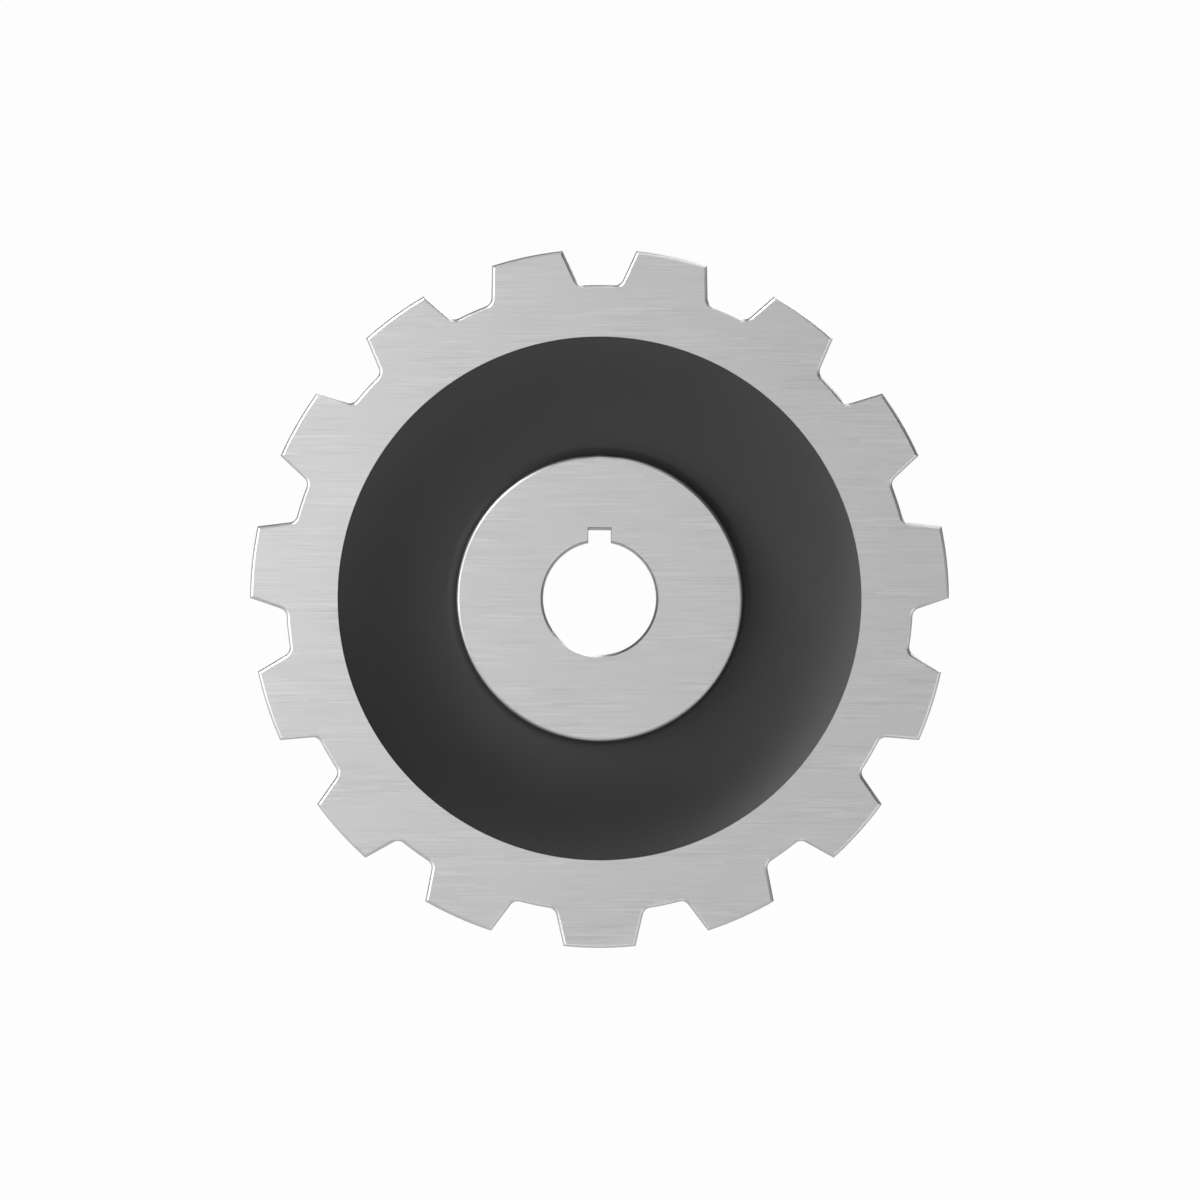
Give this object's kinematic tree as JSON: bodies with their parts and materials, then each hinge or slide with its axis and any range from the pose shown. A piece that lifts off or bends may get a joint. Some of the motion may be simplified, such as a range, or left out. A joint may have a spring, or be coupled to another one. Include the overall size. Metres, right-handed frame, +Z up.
{
  "type": "timing belt pulley",
  "caption": "Toothed belt pulley without flanges: steel rim on a concave rubber ring around a keyed steel hub, held by radial set screws.",
  "frame": {"origin": "on the bore's axis, in the middle of the toothed width", "axes": "+Y along the bore from the front face to the hub's tail, +Z up through the keyway, +X through the second set screw"},
  "size_m": [0.0592, 0.0426, 0.0591],
  "materials": {
    "rim_steel": "finely brushed, bright",
    "hub_steel": "finely brushed, bright",
    "rubber": "smooth moulded, satin",
    "sleeve_steel": "turned",
    "bush_bronze": "bronze, satin",
    "washer_polymer": "natural acetal",
    "spring_steel": "phosphated and oiled",
    "pin_steel": "ground and hardened",
    "black_screw": "black oxide",
    "pad_brass": "turned"
  },
  "bodies": {
    "hub": {"hub": "hub_steel", "inner_sleeve": "sleeve_steel", "thrust_washer": "washer_polymer", "support_washer": "sleeve_steel", "retaining_ring": "spring_steel", "stop_pin_1": "pin_steel", "stop_pin_2": "pin_steel", "stop_pin_3": "pin_steel", "stop_pin_4": "pin_steel", "stop_buffer_1": "rubber", "stop_buffer_2": "rubber", "stop_buffer_3": "rubber", "stop_buffer_4": "rubber"},
    "rim": {"toothed_rim": "rim_steel", "outer_sleeve": "sleeve_steel", "plain_bush": "bush_bronze"},
    "rubber": {"rubber_ring": "rubber"},
    "pad_over_key": {"pad_key": "pad_brass"},
    "screw_over_key": {"set_screw_key": "black_screw"},
    "pad_over_shaft": {"pad_shaft": "pad_brass"},
    "screw_over_shaft": {"set_screw_shaft": "black_screw"}
  },
  "joints": [
    {"name": "rim_twist", "type": "hinge", "parent": "hub", "child": "rim", "pos_m": [0, 0, 0], "axis": [0, 1, 0], "range_deg": [-6, 6], "stiffness_Nm_per_rad": 35},
    {"name": "rubber_shear", "type": "hinge", "parent": "hub", "child": "rubber", "pos_m": [0, 0, 0], "axis": [0, 1, 0], "range_deg": [-3, 3]},
    {"name": "pad_key_slide", "type": "slide", "parent": "hub", "child": "pad_over_key", "axis": [0, 0, 1], "range_m": [-0.0005, 0.003]},
    {"name": "set_screw_key_turn", "type": "hinge", "parent": "pad_over_key", "child": "screw_over_key", "pos_m": [0, 0.021, 0], "axis": [0, 0, 1], "range_deg": [-257.1, 1542.9]},
    {"name": "pad_shaft_slide", "type": "slide", "parent": "hub", "child": "pad_over_shaft", "axis": [1, 0, 0], "range_m": [-0.00025, 0.003]},
    {"name": "set_screw_shaft_turn", "type": "hinge", "parent": "pad_over_shaft", "child": "screw_over_shaft", "pos_m": [0, 0.021, 0], "axis": [1, 0, 0], "range_deg": [-128.6, 1542.9]}
  ],
  "couplings": [
    {"joint": "rubber_shear", "follows": "rim_twist", "ratio": 0.5},
    {"joint": "set_screw_key_turn", "follows": "pad_key_slide", "rad_per_m": 8976},
    {"joint": "set_screw_shaft_turn", "follows": "pad_shaft_slide", "rad_per_m": 8976}
  ]
}
